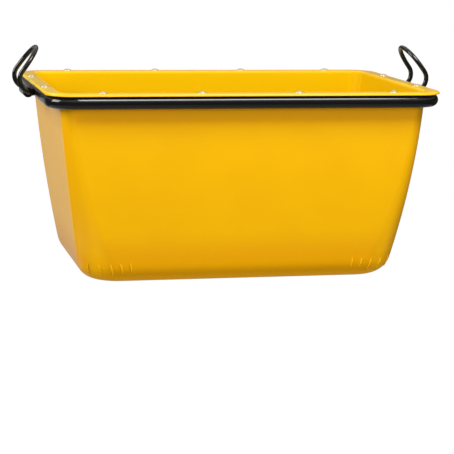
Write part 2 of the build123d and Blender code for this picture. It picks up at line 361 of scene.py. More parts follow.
# The ribs' paler yellow is a painted highlight.
RIB_PAINTED_HIGHLIGHT = 0.22
tub_finish = yellow_plastic("yellow_plastic", 0.0)
rib_finish = yellow_plastic("yellow_plastic_painted_highlight", RIB_PAINTED_HIGHLIGHT)
print("made", tub_finish.name, "with", len(tub_finish.node_tree.nodes), "nodes, and", rib_finish.name)

# %% Black powder coat
COAT_BLACK = (0.006, 0.006, 0.006, 1.0)
COAT_GREY = (0.013, 0.013, 0.012, 1.0)
BARE_STEEL = (0.16, 0.155, 0.15, 1.0)
COAT_ROUGHNESS = 0.07
FRAME_SHINE = 0.36
BAIL_SHINE = 0.4
COAT_CLOUD_SCALE = 35.0
DUST_SCALE = 140.0
DUSTED = (0.55, 0.80)
RUB_STRETCH = (90.0, 90.0, 260.0)
RUBBED = (0.56, 0.72)
RUB_RISE = 12 * MM
PEEL_SCALE = 420.0
PEEL_DEPTH = 0.4 * MM
ABOVE_EVERYTHING = 2.0
CROWN_RUB_HEIGHT = 548 * MM


def black_coat(name, shine, rubbed_from):
    """Powder coat. Above the height rubbed_from, a hook or sling has begun to rub it to the steel."""
    material, graph = new_material(name)
    place = graph.place()
    height = graph.split(place)["Z"]
    cloud = graph.noise(place, COAT_CLOUD_SCALE, 3.0)
    dust = graph.step(graph.noise(place, DUST_SCALE, 4.0, 0.7), *DUSTED)
    rub = graph.noise(graph.stretched(place, RUB_STRETCH), 1.0, 5.0, 0.7)
    rubbed = graph.step(rub, *RUBBED) * graph.step(height, rubbed_from, rubbed_from + RUB_RISE)
    colour = graph.mix(dust * 0.5, COAT_BLACK, COAT_GREY)
    colour = graph.mix(rubbed * 0.5, colour, BARE_STEEL)
    roughness = COAT_ROUGHNESS + cloud * 0.08 + dust * 0.08 + rubbed * 0.12
    relief = graph.bump(graph.noise(place, PEEL_SCALE), 0.10, PEEL_DEPTH)
    sockets = {"Base Color": colour, "Roughness": roughness, "Metallic": rubbed * 0.4, "Normal": relief}
    shade(graph, sockets | {"Specular IOR Level": shine})
    return material


frame_finish = black_coat("black_coat_frame", FRAME_SHINE, ABOVE_EVERYTHING)
bail_finish = black_coat("black_coat_bail", BAIL_SHINE, CROWN_RUB_HEIGHT)
print("made", frame_finish.name, "and", bail_finish.name)

# %% Rivet metals
ALUMINIUM = (0.76, 0.64, 0.43, 1.0)
ALUMINIUM_DULL = (0.52, 0.43, 0.28, 1.0)
ALUMINIUM_ROUGHNESS = 0.20
ZINC = (0.42, 0.42, 0.44, 1.0)
ZINC_DARK = (0.20, 0.20, 0.21, 1.0)
ZINC_ROUGHNESS = 0.35
METAL_CLOUD_SCALE = 320.0
METAL_CLOUDED = (0.42, 0.72)
SCRATCH_STRETCH = (2600.0, 300.0, 300.0)
SCRATCH_DEPTH = 0.1 * MM


def plain_metal(name, bright, dull, roughness):
    """Bare metal with a cloudy skin and fine scratches."""
    material, graph = new_material(name)
    place = graph.place()
    cloud = graph.noise(place, METAL_CLOUD_SCALE, 4.0, 0.6)
    colour = graph.mix(graph.step(cloud, *METAL_CLOUDED), bright, dull)
    relief = graph.bump(graph.noise(graph.stretched(place, SCRATCH_STRETCH), 1.0), 0.15, SCRATCH_DEPTH)
    sockets = {"Base Color": colour, "Roughness": roughness + cloud * 0.15, "Metallic": 1.0, "Normal": relief}
    shade(graph, sockets)
    return material


rivet_finish = plain_metal("rivet_aluminium", ALUMINIUM, ALUMINIUM_DULL, ALUMINIUM_ROUGHNESS)
stem_finish = plain_metal("stem_zinc", ZINC, ZINC_DARK, ZINC_ROUGHNESS)
print("made", rivet_finish.name, "and", stem_finish.name)

# %% [markdown]
# ## Shapes by rule
# A Geometry Nodes tree makes each shape that repeats or follows a path. Its sizes are named inputs. The
# tree ends in Realize Instances and Set Material, and the result is turned into a plain mesh, because
# an exported model can't hold a live tree.

# %% Geometry helpers
MERGE_WITHIN = 0.005 * MM
SEAM_WITHIN = 0.01 * MM


def start_tree(name, sizes):
    """A geometry tree with a Geometry input and one named input for each size."""
    tree = bpy.data.node_groups.new(name, "GeometryNodeTree")
    tree.interface.new_socket("Geometry", in_out="INPUT", socket_type="NodeSocketGeometry")
    for label, value in sizes.items():
        kind = "NodeSocketInt" if isinstance(value, int) else "NodeSocketFloat"
        tree.interface.new_socket(label, in_out="INPUT", socket_type=kind)
    tree.interface.new_socket("Geometry", in_out="OUTPUT", socket_type="NodeSocketGeometry")
    graph = Graph(tree)
    return graph, graph.add("NodeGroupInput")


def end_tree(graph, geometry, material):
    """Smooth shading, real geometry and one material, then the way out."""
    smooth = graph.add("GeometryNodeSetShadeSmooth", {"Geometry": geometry})
    whole = graph.add("GeometryNodeRealizeInstances", {"Geometry": smooth})
    sockets = {"Geometry": whole, "Material": material}
    graph.add("NodeGroupOutput", {"Geometry": graph.add("GeometryNodeSetMaterial", sockets)})
    return graph


def new_object(name, data):
    made = bpy.data.objects.new(name, data)
    scene.collection.objects.link(made)
    return made


def baked(name, source, graph, sizes):
    """Run a tree on a source mesh with these sizes and keep the result as a plain mesh object."""
    carrier = new_object(name + "_source", source)
    modifier = carrier.modifiers.new("Shape", "NODES")
    modifier.node_group = graph.tree
    for item in graph.tree.interface.items_tree:
        if item.in_out == "INPUT" and item.name in sizes:
            modifier[item.identifier] = sizes[item.name]
    graph_state = bpy.context.evaluated_depsgraph_get()
    mesh = bpy.data.meshes.new_from_object(carrier.evaluated_get(graph_state), depsgraph=graph_state)
    mesh.name = name
    bpy.data.objects.remove(carrier)
    return new_object(name, mesh)


def face_outwards(piece):
    """Merge doubles and point the faces of a closed mesh outwards."""
    shape = bmesh.new()
    shape.from_mesh(piece.data)
    bmesh.ops.remove_doubles(shape, verts=shape.verts, dist=MERGE_WITHIN)
    bmesh.ops.recalc_face_normals(shape, faces=shape.faces)
    shape.to_mesh(piece.data)
    volume = shape.calc_volume(signed=True)
    shape.free()
    return volume


def line_mesh(name, points):
    """A mesh of points joined in a row by edges."""
    edges = [(i, i + 1) for i in range(len(points) - 1)]
    mesh = bpy.data.meshes.new(name)
    mesh.from_pydata(points, edges, [])
    return mesh


def dress(piece, body, slot, *nodes):
    """Let a finished piece ride on its body and stand for its CAD nodes."""
    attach(piece, body)
    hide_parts(*nodes)
    print(piece.name, len(piece.data.polygons), "faces for", ", ".join(nodes))


print("geometry helpers ready")

# %% [markdown]
# ## The tub
# At every height the wall is a rounded rectangle. Length and width grow in a slow bow from base to rim,
# and the corners are wide at the base and tight at the rim. A profile runs from the middle of the
# underside, round the bottom edge, up the wall, round the flange and down the inside to the floor. Each
# of its points holds how far the ends and the sides stand off the wall's outside at its height. The tree
# sweeps that profile round the rectangle.

# %% The tub's sizes
shell_low, shell_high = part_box("tub_shell")
front_low, front_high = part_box("frame_tube_front")
right_low, right_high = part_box("frame_tube_right")
tub_height = shell_high.z
tube_radius = (front_high.z - front_low.z) / 2
tube_z = (front_high.z + front_low.z) / 2
tube_y = -(front_high.y + front_low.y) / 2
tube_x = (right_low.x + right_high.x) / 2
TUBE_TO_WALL_GAP = 2.2 * MM
END_TAPER = 66 * MM
SIDE_TAPER = 34 * MM
WALL_BELLY = 6 * MM
RIM_CORNER = 40 * MM
WAIST_CORNER = 48 * MM
BASE_CORNER = 100 * MM
FLANGE_CORNER = 65 * MM
FLANGE_THICKNESS = 7 * MM
FLANGE_ROOT = 3 * MM
FLANGE_LOWER_EDGE = 1.2 * MM
FLANGE_TOP_EDGE = 5.4 * MM
RIM_ROUNDING = 8 * MM
WALL = 5 * MM
FLOOR = 6 * MM
BASE_ROUNDING = 53 * MM
overhang = 2 * tube_radius + TUBE_TO_WALL_GAP
rim_length = shell_high.x - shell_low.x - 2 * overhang
rim_width = shell_high.y - shell_low.y - 2 * overhang
print("tub", round(rim_length, 3), "by", round(rim_width, 3), "m inside its overhang of", round(overhang, 3))

# %% The tub's profile
ARC_STEPS = 10
WALL_STEPS = 24
HOLD = 1.5 * MM
FLOOR_SHARES = (0.6, 0.35)


def wall_out(height, taper):
    """How far the wall's outside stands out at a height, measured from its foot at the base."""
    share = height / tub_height
    bow = 4 * WALL_BELLY * share * (1 - share)
    return taper * height / tub_height + bow


def ball_place(radius, floor, inset, taper):
    """How far out the middle of a ball lies that rolls along the floor and touches the wall."""
    slope = (wall_out(floor + radius, taper) - wall_out(floor, taper)) / radius
    foot = wall_out(floor, taper) - inset
    return foot + slope * radius - radius * sqrt(1 + slope * slope)


def bottom_round(radius, floor, inset, turns):
    """Points of a bottom rounding as offsets from the wall's outside: ends, sides and height."""
    points = []
    for turn in turns:
        offsets = []
        height = floor + radius - radius * sin(turn)
        for taper in (END_TAPER, SIDE_TAPER):
            out = ball_place(radius, floor, inset, taper) + radius * cos(turn)
            offsets.append(min(out - wall_out(height, taper), -inset))
        points.append((*offsets, height))
    return points


def between(first, last, steps):
    """Evenly spaced values, both ends among them."""
    return [first + (last - first) * i / steps for i in range(steps + 1)]


def rounded_edge(out, height, radius, first, last, steps):
    """A rounding about a middle that stands off the ends and the sides alike."""
    points = []
    for turn in between(first, last, steps):
        reach = out + radius * cos(turn)
        points.append((reach, reach, height + radius * sin(turn)))
    return points


def tub_profile():
    """The profile from the middle of the underside to that of the floor, and where the inside begins."""
    half_base = rim_width / 2 - SIDE_TAPER
    half_floor = half_base + wall_out(FLOOR, SIDE_TAPER)
    flange_under = tub_height - FLANGE_THICKNESS
    floor_marks = [half_base * share for share in FLOOR_SHARES] + [BASE_ROUNDING + 8 * HOLD]
    turns = between(pi / 2, atan(SIDE_TAPER / tub_height), ARC_STEPS)
    points = [(-d, -d, 0.0) for d in (half_base, *floor_marks)]
    points += bottom_round(BASE_ROUNDING, 0.0, 0.0, turns)
    first = points[-1][2] + HOLD
    last = flange_under - FLANGE_ROOT - HOLD
    points += [(0.0, 0.0, height) for height in between(first, last, WALL_STEPS)]
    root, lower, top, inner = FLANGE_ROOT, FLANGE_LOWER_EDGE, FLANGE_TOP_EDGE, RIM_ROUNDING
    points += rounded_edge(root, flange_under - root, root, pi, pi / 2, ARC_STEPS)
    for out in (root + HOLD, overhang / 2, overhang - lower - HOLD):
        points.append((out, out, flange_under))
    points += rounded_edge(overhang - lower, flange_under + lower, lower, -pi / 2, 0.0, ARC_STEPS // 2)
    points += rounded_edge(overhang - top, tub_height - top, top, 0.0, pi / 2, ARC_STEPS)
    inner_edge = inner - WALL
    for out in (overhang - top - HOLD, overhang / 2, inner_edge + HOLD):
        points.append((out, out, tub_height))
    points += rounded_edge(inner_edge, tub_height - inner, inner, pi / 2, pi, ARC_STEPS)
    inside_from = len(points) - ARC_STEPS // 2
    inner_turns = bottom_round(BASE_ROUNDING - WALL, FLOOR, WALL, reversed(turns))
    first = tub_height - inner - HOLD
    last = inner_turns[0][2] + HOLD
    points += [(-WALL, -WALL, height) for height in between(first, last, WALL_STEPS)]
    points += inner_turns
    points += [(-d, -d, FLOOR) for d in (*reversed(floor_marks), half_floor)]
    return points, inside_from


profile_points, inside_from = tub_profile()
print("profile of", len(profile_points), "points, the inside from point", inside_from)

# %% The tub's tree
TUB_SIZES = {
    "Height": tub_height,
    "Rim Length": rim_length,
    "Rim Width": rim_width,
    "End Taper": END_TAPER,
    "Side Taper": SIDE_TAPER,
    "Belly": WALL_BELLY,
    "Base Corner": BASE_CORNER,
    "Waist Corner": WAIST_CORNER,
    "Rim Corner": RIM_CORNER,
    "Flange Corner": FLANGE_CORNER,
    "Overhang": overhang,
    "Hold": 4 * MM,
    "Corner Steps": 20,
    "Inside From": inside_from,
}


def section_sizes(given, height, end_off, side_off):
    """Half length, half width and corner radius of the tub's rounded rectangle at a height."""
    share = height / given["Height"]
    rest = 1 - share
    swell = given["Belly"] * 4 * share * rest
    half_length = given["Rim Length"] / 2 - given["End Taper"] * rest + swell + end_off
    half_width = given["Rim Width"] / 2 - given["Side Taper"] * rest + swell + side_off
    corner = given["Base Corner"] * rest * (1 - share * 2)
    corner = corner + given["Waist Corner"] * 4 * share * rest
    corner = corner + given["Rim Corner"] * share * (share * 2 - 1)
    spread = (given["Flange Corner"] - given["Rim Corner"]) / given["Overhang"]
    corner = corner + side_off.at_most(0.0) + side_off.at_least(0.0) * spread
    return half_length, half_width, corner.at_least(0.0)


def tub_tree():
    graph, given = start_tree("Moulded tub", TUB_SIZES)
    steps = given["Corner Steps"]
    rows = graph.add("GeometryNodeAttributeDomainSize", {"Geometry": given}, "Point Count")
    per_corner = steps + 3
    sockets = {"Vertices X": per_corner * 4 + 1, "Vertices Y": rows}
    grid = graph.add("GeometryNodeMeshGrid", sockets, "Mesh")
    index = graph.index()
    column = (index / rows).call("FLOOR")
    row = index - column * rows
    parts = graph.split(graph.point(given, row))
    height = parts["Z"]
    half_length, half_width, corner = section_sizes(given, height, parts, parts["Y"])
    side = (column / per_corner).call("FLOOR")
    place = column - side * per_corner
    turn = (side + ((place - 1) / steps).at_least(0.0).at_most(1.0)) * (pi / 2)
    middle = (side + 0.5) * (pi / 2)
    straight = given["Hold"].at_most(half_width - corner)
    straight = straight * ((place - steps - 1).at_least(0.0) - (1 - place).at_least(0.0))
    x = middle.call("COSINE").call("SIGN") * (half_length - corner)
    x = x + corner * turn.call("COSINE") - straight * turn.call("SINE")
    y = middle.call("SINE").call("SIGN") * (half_width - corner)
    y = y + corner * turn.call("SINE") + straight * turn.call("COSINE")
    spot = graph.join(x, y, height)
    inside = row.math("GREATER_THAN", row, given["Inside From"] - 0.5)
    sockets = {"Geometry": grid, "Name": INSIDE_MARK, "Value": inside}
    marked = graph.add("GeometryNodeStoreNamedAttribute", sockets)
    swept = graph.add("GeometryNodeSetPosition", {"Geometry": marked, "Position": spot})
    closed = graph.add("GeometryNodeMergeByDistance", {"Geometry": swept, "Distance": SEAM_WITHIN})
    return end_tree(graph, closed, tub_finish)


tub = baked("moulded_tub", line_mesh("tub_profile", profile_points), tub_tree(), TUB_SIZES)
tub_volume = face_outwards(tub)
dress(tub, "tub", "yellow_plastic", "tub_shell")
print("plastic in the tub", round(tub_volume * 1000, 2), "litres")

# %% [markdown]
# ## The ribs on the bottom corners
# Low ribs run down over the bottom rounding beside each corner. They lean towards the middle, the more
# the nearer they stand to the corner. Each one is a line on the tub's own surface, worked out from the
# same section as the tub. A flat oval bar is swept along it on edge, so that half of it stands out as a
# fin. Their plastic is painted a little paler, a painted highlight along each rib.

# %% Corner ribs
# Top and foot of each rib in mm: the place along the tub and the height
RIBS = [
    ((286.5, 53), (283, 31)),
    ((311, 52), (306, 31)),
    ((336, 50), (328, 22)),
    ((364, 49), (354, 18)),
    ((389, 51), (384, 24)),
]
RIB_SIZES = TUB_SIZES | {
    "Rib Half Width": 1.4 * MM,
    "Rib Height": 2.6 * MM,
    "Base Rounding": BASE_ROUNDING,
    "End Ball": ball_place(BASE_ROUNDING, 0.0, 0.0, END_TAPER),
    "Side Ball": ball_place(BASE_ROUNDING, 0.0, 0.0, SIDE_TAPER),
    "Rib Steps": 16,
}


def rounding_off(given, height, wall):
    """How far the bottom rounding stands back from the wall's line at a height."""
    radius = given["Base Rounding"]
    share = height / given["Height"]
    drop = (radius - height).at_least(0.0)
    ball = given[f"{wall} Ball"] + (radius * radius - drop * drop).call("SQRT")
    line = given[f"{wall} Taper"] * share + given["Belly"] * 4 * share * (1 - share)
    slope = given[f"{wall} Taper"] / given["Height"]
    touch = radius * (1 - slope.call("ARCTANGENT").call("SINE"))
    return (ball - line).at_most(0.0) * height.math("LESS_THAN", height, touch)


def rib_tree():
    """Sweep each rib between two input points, its top and its foot.

    A point holds the place along the tub, the side (-1 or 1) and the height.
    """
    graph, given = start_tree("Corner ribs", RIB_SIZES)
    steps = given["Rib Steps"]
    count = graph.add("GeometryNodeAttributeDomainSize", {"Geometry": given}, "Point Count") / 2
    grid = graph.add("GeometryNodeMeshGrid", {"Vertices X": count, "Vertices Y": steps}, "Mesh")
    index = graph.index()
    rib = (index / steps).call("FLOOR")
    way = (index - rib * steps) / (steps - 1)
    top, foot = (graph.split(graph.point(given, rib * 2 + end)) for end in (0, 1))
    x = top + (foot - top) * way
    height = top["Z"] + (foot["Z"] - top["Z"]) * way
    end_off = rounding_off(given, height, "End")
    side_off = rounding_off(given, height, "Side")
    half_length, half_width, corner = section_sizes(given, height, end_off, side_off)
    past = (x.call("ABSOLUTE") - half_length + corner).at_least(0.0)
    y = half_width - corner + (corner * corner - past * past).at_least(0.0).call("SQRT")
    spot = graph.join(x, y * top["Y"], height)
    laid = graph.add("GeometryNodeSetPosition", {"Geometry": grid, "Position": spot})
    points = graph.add("GeometryNodeMeshToPoints", {"Mesh": laid})
    sockets = {"Points": points, "Curve Group ID": rib, "Weight": way}
    lines = graph.add("GeometryNodePointsToCurves", sockets)
    lines = graph.add("GeometryNodeSetCurveNormal", {"Curve": lines}, mode="Z_UP")
    along = graph.add("GeometryNodeSplineParameter")
    swell = (along * (1 - along) * 4).call("SQRT").at_most(1.0)
    lines = graph.add("GeometryNodeSetCurveRadius", {"Curve": lines, "Radius": swell})
    bar = graph.add("GeometryNodeCurvePrimitiveCircle", {"Resolution": 12, "Radius": 1.0})
    oval = graph.join(given["Rib Half Width"], given["Rib Height"], 1.0)
    bar = graph.add("GeometryNodeTransform", {"Geometry": bar, "Scale": oval})
    sockets = {"Curve": lines, "Profile Curve": bar, "Fill Caps": True}
    return end_tree(graph, graph.add("GeometryNodeCurveToMesh", sockets), rib_finish)


rib_points = []
for side in (-1, 1):
    for end in (-1, 1):
        for rib in RIBS:
            rib_points += [(end * x * MM, side, height * MM) for x, height in rib]
ribs = baked("corner_ribs", line_mesh("rib_points", rib_points), rib_tree(), RIB_SIZES)
face_outwards(ribs)
dress(ribs, "tub", "yellow_plastic", "tub_shell")

# %% [markdown]
# ## The ring frame
# One steel tube is bent into a rounded rectangle and lies close under the flange, flush with its edge.
# A rectangle curve with filleted corners is the tube's middle line, and a circle is swept along it.

# %% Ring frame
TUBE_BEND = 62 * MM
RING_SIZES = {
    "Length": 2 * tube_x,
    "Width": 2 * tube_y,
    "Height": tube_z,
    "Bend Radius": TUBE_BEND,
    "Tube Radius": tube_radius,
    "Bend Steps": 28,
}


def ring_tree():
    graph, given = start_tree("Ring frame", RING_SIZES)
    sockets = {"Width": given["Length"], "Height": given["Width"]}
    path = graph.add("GeometryNodeCurvePrimitiveQuadrilateral", sockets)
    sockets = {"Curve": path, "Count": given["Bend Steps"], "Radius": given["Bend Radius"]}
    path = graph.add("GeometryNodeFilletCurve", sockets, mode="POLY")
    lift = graph.join(0.0, 0.0, given["Height"])
    path = graph.add("GeometryNodeSetPosition", {"Geometry": path, "Offset": lift})
    sockets = {"Resolution": 48, "Radius": given["Tube Radius"]}
    round_section = graph.add("GeometryNodeCurvePrimitiveCircle", sockets)
    swept = graph.add("GeometryNodeCurveToMesh", {"Curve": path, "Profile Curve": round_section})
    return end_tree(graph, swept, frame_finish)


ring = baked("ring_frame", line_mesh("ring_source", [(0, 0, 0)]), ring_tree(), RING_SIZES)
face_outwards(ring)
SIDES = ("front", "back", "left", "right")
CORNERS = ("front_left", "front_right", "back_left", "back_right")
ring_nodes = [f"frame_tube_{side}" for side in SIDES] + [f"frame_bend_{corner}" for corner in CORNERS]
dress(ring, "tub", "black_paint", *ring_nodes)

# %% [markdown]
# ## The rivets
# Blind rivets hold the flange to the tube: a domed head above, a shank through both and a bulb inside
# the tube. The steel stem that set each one broke off inside and shows as a grey dot. One rivet is
# turned from its outline, and a tree sets it on a line of points along each side, each turned at random
# about its own axis.

# %% Turned shapes
ON_AXIS = 0.001 * MM


def turned(name, outline, steps):
    """Turn a closed outline of (radius, height) points about Z. An edge along the axis makes no faces."""
    points = []
    faces = []
    count = len(outline)
    for i in range(steps):
        angle = 2 * pi * i / steps
        points += [(r * cos(angle), r * sin(angle), z) for r, z in outline]
        after = (i + 1) % steps
        for j in range(count):
            k = (j + 1) % count
            if max(outline[j][0], outline[k][0]) > ON_AXIS:
                faces.append((i * count + j, after * count + j, after * count + k, i * count + k))
    mesh = bpy.data.meshes.new(name)
    mesh.from_pydata(points, [], faces)
    shape = bmesh.new()
    shape.from_mesh(mesh)
    bmesh.ops.remove_doubles(shape, verts=shape.verts, dist=ON_AXIS)
    bmesh.ops.dissolve_degenerate(shape, edges=shape.edges, dist=ON_AXIS)
    bmesh.ops.recalc_face_normals(shape, faces=shape.faces)
    shape.to_mesh(mesh)
    shape.free()
    return mesh


HEAD_RADIUS = 11 * MM
HEAD_HEIGHT = 5 * MM
BORE_CHAMFER = 0.35 * MM
SHANK_RADIUS = 3.2 * MM
BULB_RADIUS = 4.8 * MM
BULB_TOP = -10.3 * MM
STEM_RADIUS = 1.6 * MM
STEM_FLAT = 0.8 * STEM_RADIUS
STEM_PLAY = 0.05 * MM
STEM_RECESS = 0.8 * MM
STEM_DISH = 0.15 * MM
STEM_CHAMFER = 0.3 * MM
STEM_HEAD_RADIUS = 2.7 * MM
STEM_HEAD_STEPS = 6
DOME_STEPS = 10
bulb_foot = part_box("rivets_front")[0].z - tub_height
dome_radius = (HEAD_RADIUS**2 + HEAD_HEIGHT**2) / (2 * HEAD_HEIGHT)
bore = STEM_RADIUS + STEM_PLAY


def dome_height(radius):
    return HEAD_HEIGHT - dome_radius + sqrt(dome_radius**2 - radius**2)


def rivet_outline():
    """Head, shank and bulb, from the bore's top round the outside to the bore's foot."""
    flare = (BULB_RADIUS - SHANK_RADIUS) / 2
    points = [(bore, dome_height(bore) - BORE_CHAMFER)]
    for radius in between(bore + BORE_CHAMFER, HEAD_RADIUS, DOME_STEPS)[:-1]:
        points.append((radius, dome_height(radius)))
    points += [(HEAD_RADIUS, 0.0), (SHANK_RADIUS, 0.0), (SHANK_RADIUS, BULB_TOP)]
    points += [(BULB_RADIUS - flare, BULB_TOP), (BULB_RADIUS, BULB_TOP - flare)]
    points += [(BULB_RADIUS, bulb_foot + flare), (BULB_RADIUS - flare, bulb_foot), (bore, bulb_foot)]
    return points


def stem_outline():
    """The broken stem: a dished top, the shaft and a round head under the bulb."""
    top = dome_height(bore) - STEM_RECESS
    points = [(0.0, top - STEM_DISH), (STEM_FLAT, top), (STEM_RADIUS, top - STEM_CHAMFER)]
    points += [(STEM_RADIUS, bulb_foot)]
    for turn in between(0.0, pi / 2, STEM_HEAD_STEPS):
        points.append((STEM_HEAD_RADIUS * cos(turn), bulb_foot - STEM_HEAD_RADIUS * sin(turn)))
    return points


print("rivet of", len(rivet_outline()), "outline points, bulb foot at", round(bulb_foot * 1000, 1), "mm")

# %% Rivets on their seats
LONG_MARGIN = 135 * MM
SHORT_MARGIN = 188.5 * MM
LONG_COUNT = 4
SHORT_COUNT = 2
SEAT_SIZES = {
    "Long Count": LONG_COUNT,
    "Short Count": SHORT_COUNT,
    "Long Run": 2 * (shell_high.x - LONG_MARGIN),
    "Short Run": 2 * (shell_high.y - SHORT_MARGIN),
    "Across X": tube_x,
    "Across Y": tube_y,
    "Seat Height": tub_height,
    "Seed": 11,
}


def seat_tree(name, material):
    """Set the input shape on the seats of all four sides."""
    graph, given = start_tree(name, SEAT_SIZES)
    joined = graph.add("GeometryNodeJoinGeometry")
    for axis, way, across in ((0, "Long", "Across Y"), (1, "Short", "Across X")):
        run, count = given[f"{way} Run"], given[f"{way} Count"]
        for sign in (-1, 1):
            start = [0.0, 0.0, given["Seat Height"]]
            gap = [0.0, 0.0, 0.0]
            start[axis] = run * -0.5
            start[1 - axis] = given[across] * sign
            gap[axis] = run / (count - 1)
            sockets = {"Count": count, "Start Location": graph.join(*start), "Offset": graph.join(*gap)}
            row = graph.add("GeometryNodeMeshLine", sockets)
            graph.tree.links.new(row.socket, joined.socket.node.inputs[0])
    spin = graph.join(0.0, 0.0, graph.chance(0.0, 2 * pi, given["Seed"]))
    sockets = {"Points": joined, "Instance": given, "Rotation": spin}
    return end_tree(graph, graph.add("GeometryNodeInstanceOnPoints", sockets), material)


RIVET_TURNS = 32
for name, outline, finish, slot, nodes in (
    ("blind_rivets", rivet_outline(), rivet_finish, "rivet_aluminium", "rivets"),
    ("rivet_stems", stem_outline(), stem_finish, "mandrel_steel", "rivet_mandrels"),
):
    shape = turned(f"{nodes}_source", outline, RIVET_TURNS)
    piece = baked(name, shape, seat_tree(f"Seats of {name}", finish), SEAT_SIZES)
    dress(piece, "tub", slot, *[f"{nodes}_{side}" for side in SIDES])

# %% [markdown]
# ## The bails
# Each bail is one bent bar. Its ends turn inwards into a sleeve, its legs bow outwards past the flange
# and lean back over the tub, and its crown is a half circle. The bar's middle line is made of straight
# runs and arcs, each arc tangent to what it joins, and a circle is swept along it.

# %% The bail's middle line
sleeve_low, sleeve_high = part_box("bail_sleeve_right")
pivot = (sleeve_low + sleeve_high) / 2
BAR_RADIUS = 6 * MM
LEAVE_ANGLE = radians(38)
LEAN_ANGLE = radians(90 + 36)
ELBOW_RADIUS = 33 * MM
LEG_LENGTH = 7.5 * MM
STUB_BEND = 13 * MM
STUB_GAP = 28 * MM
STUB_STEPS = 12
ELBOW_STEPS = 22
CROWN_STEPS = 26
leg_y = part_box("bail_right")[1].y - BAR_RADIUS


def way(angle):
    """Unit direction in the bail's side plane, at an angle above the outward horizontal."""
    return Vector((cos(angle), 0.0, sin(angle)))


def arc(centre, first, second, radius, size, steps):
    """Points of an arc that starts along first from the centre and turns towards second."""
    turns = between(0.0, size, steps)[1:]
    return [centre + first * (radius * cos(t)) + second * (radius * sin(t)) for t in turns]


def half_bail():
    """Middle line from the turned-in end to the top of the crown, on the +Y side."""
    across = Vector((0.0, 1.0, 0.0))
    leave = way(LEAVE_ANGLE)
    lean = way(LEAN_ANGLE)
    stub_end = pivot + across * (leg_y - STUB_BEND)
    points = [pivot + across * (STUB_GAP / 2), stub_end]
    points += arc(stub_end + leave * STUB_BEND, -leave, across, STUB_BEND, pi / 2, STUB_STEPS)
    inwards = way(LEAVE_ANGLE + pi / 2)
    bend = LEAN_ANGLE - LEAVE_ANGLE
    points += arc(points[-1] + inwards * ELBOW_RADIUS, -inwards, leave, ELBOW_RADIUS, bend, ELBOW_STEPS)
    points.append(points[-1] + lean * LEG_LENGTH)
    points += arc(points[-1] - across * leg_y, across, lean, leg_y, pi / 2, CROWN_STEPS)
    return points


half_line = half_bail()
mirrored = [Vector((p.x, -p.y, p.z)) for p in reversed(half_line[:-1])]
right_line = half_line + mirrored
left_line = [Vector((-p.x, p.y, p.z)) for p in right_line]
print("bail line of", len(right_line), "points, top at", round(half_line[-1].z, 4), "m")

# %% Bails
BAR_SIZES = {"Bar Radius": BAR_RADIUS, "Bar Sides": 40}


def bar_tree():
    graph, given = start_tree("Round bar", BAR_SIZES)
    path = graph.add("GeometryNodeMeshToCurve", {"Mesh": given})
    sockets = {"Resolution": given["Bar Sides"], "Radius": given["Bar Radius"]}
    round_section = graph.add("GeometryNodeCurvePrimitiveCircle", sockets)
    sockets = {"Curve": path, "Profile Curve": round_section, "Fill Caps": True}
    return end_tree(graph, graph.add("GeometryNodeCurveToMesh", sockets), bail_finish)


bar = bar_tree()
for side, line in (("left", left_line), ("right", right_line)):
    bail = baked(f"lifting_bail_{side}", line_mesh(f"bail_line_{side}", line), bar, BAR_SIZES)
    face_outwards(bail)
    dress(bail, f"bail_{side}", "black_paint", f"bail_{side}")

# %% [markdown]
# ## Sleeves and their welds
# A short length of thick tube is welded along the middle of each short side and takes the bail's ends.
# It is turned like the rivets and laid along Y. A weld bead is a row of overlapping ripples, so a tree
# sets a flattened ball again and again along each groove, with small differences from a fixed seed.

# %% Sleeves
sleeve_radius = (sleeve_high.z - sleeve_low.z) / 2
sleeve_half = (sleeve_high.y - sleeve_low.y) / 2
SLEEVE_PLAY = 0.3 * MM
SLEEVE_CHAMFER = 1 * MM
SLEEVE_TURNS = 48
SHARP_FROM = radians(35)


def sleeve_outline():
    inner = BAR_RADIUS + SLEEVE_PLAY
    points = []
    for sign in (1, -1):
        end = sign * sleeve_half
        back = sign * SLEEVE_CHAMFER
        ring = [(inner, end - 3 * back), (inner, end - back), (inner + SLEEVE_CHAMFER, end)]
        ring += [(sleeve_radius - SLEEVE_CHAMFER, end), (sleeve_radius, end - back)]
        ring.append((sleeve_radius, end - 3 * back))
        points += ring[::sign]
    return points


for side, sign in (("left", -1), ("right", 1)):
    mesh = turned(f"pivot_sleeve_{side}", sleeve_outline(), SLEEVE_TURNS)
    mesh.transform(Matrix.Translation((sign * pivot.x, 0.0, pivot.z)) @ Matrix.Rotation(pi / 2, 4, "X"))
    mesh.shade_smooth()
    mesh.set_sharp_from_angle(angle=SHARP_FROM)
    mesh.materials.append(frame_finish)
    dress(new_object(f"pivot_sleeve_{side}", mesh), "tub", "black_paint", f"bail_sleeve_{side}")

# %% Weld beads
weld_low, weld_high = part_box("sleeve_welds_right")
RIPPLE_PITCH = 2.6 * MM
RIPPLE_LEAST = 0.88
RIPPLE_MOST = 1.08
BEAD_RISE = 6.2 * MM
BEAD_ENDS = 4 * MM
weld_run = weld_high.y - weld_low.y
WELD_SIZES = {
    "Ripples": round(weld_run / RIPPLE_PITCH),
    "Run": weld_run - BEAD_ENDS,
    "Rise": BEAD_RISE,
    "Ripple Width": 3.6 * MM,
    "Ripple Length": 2.6 * MM,
    "Ripple Height": 3.2 * MM,
    "Seed": 5,
}


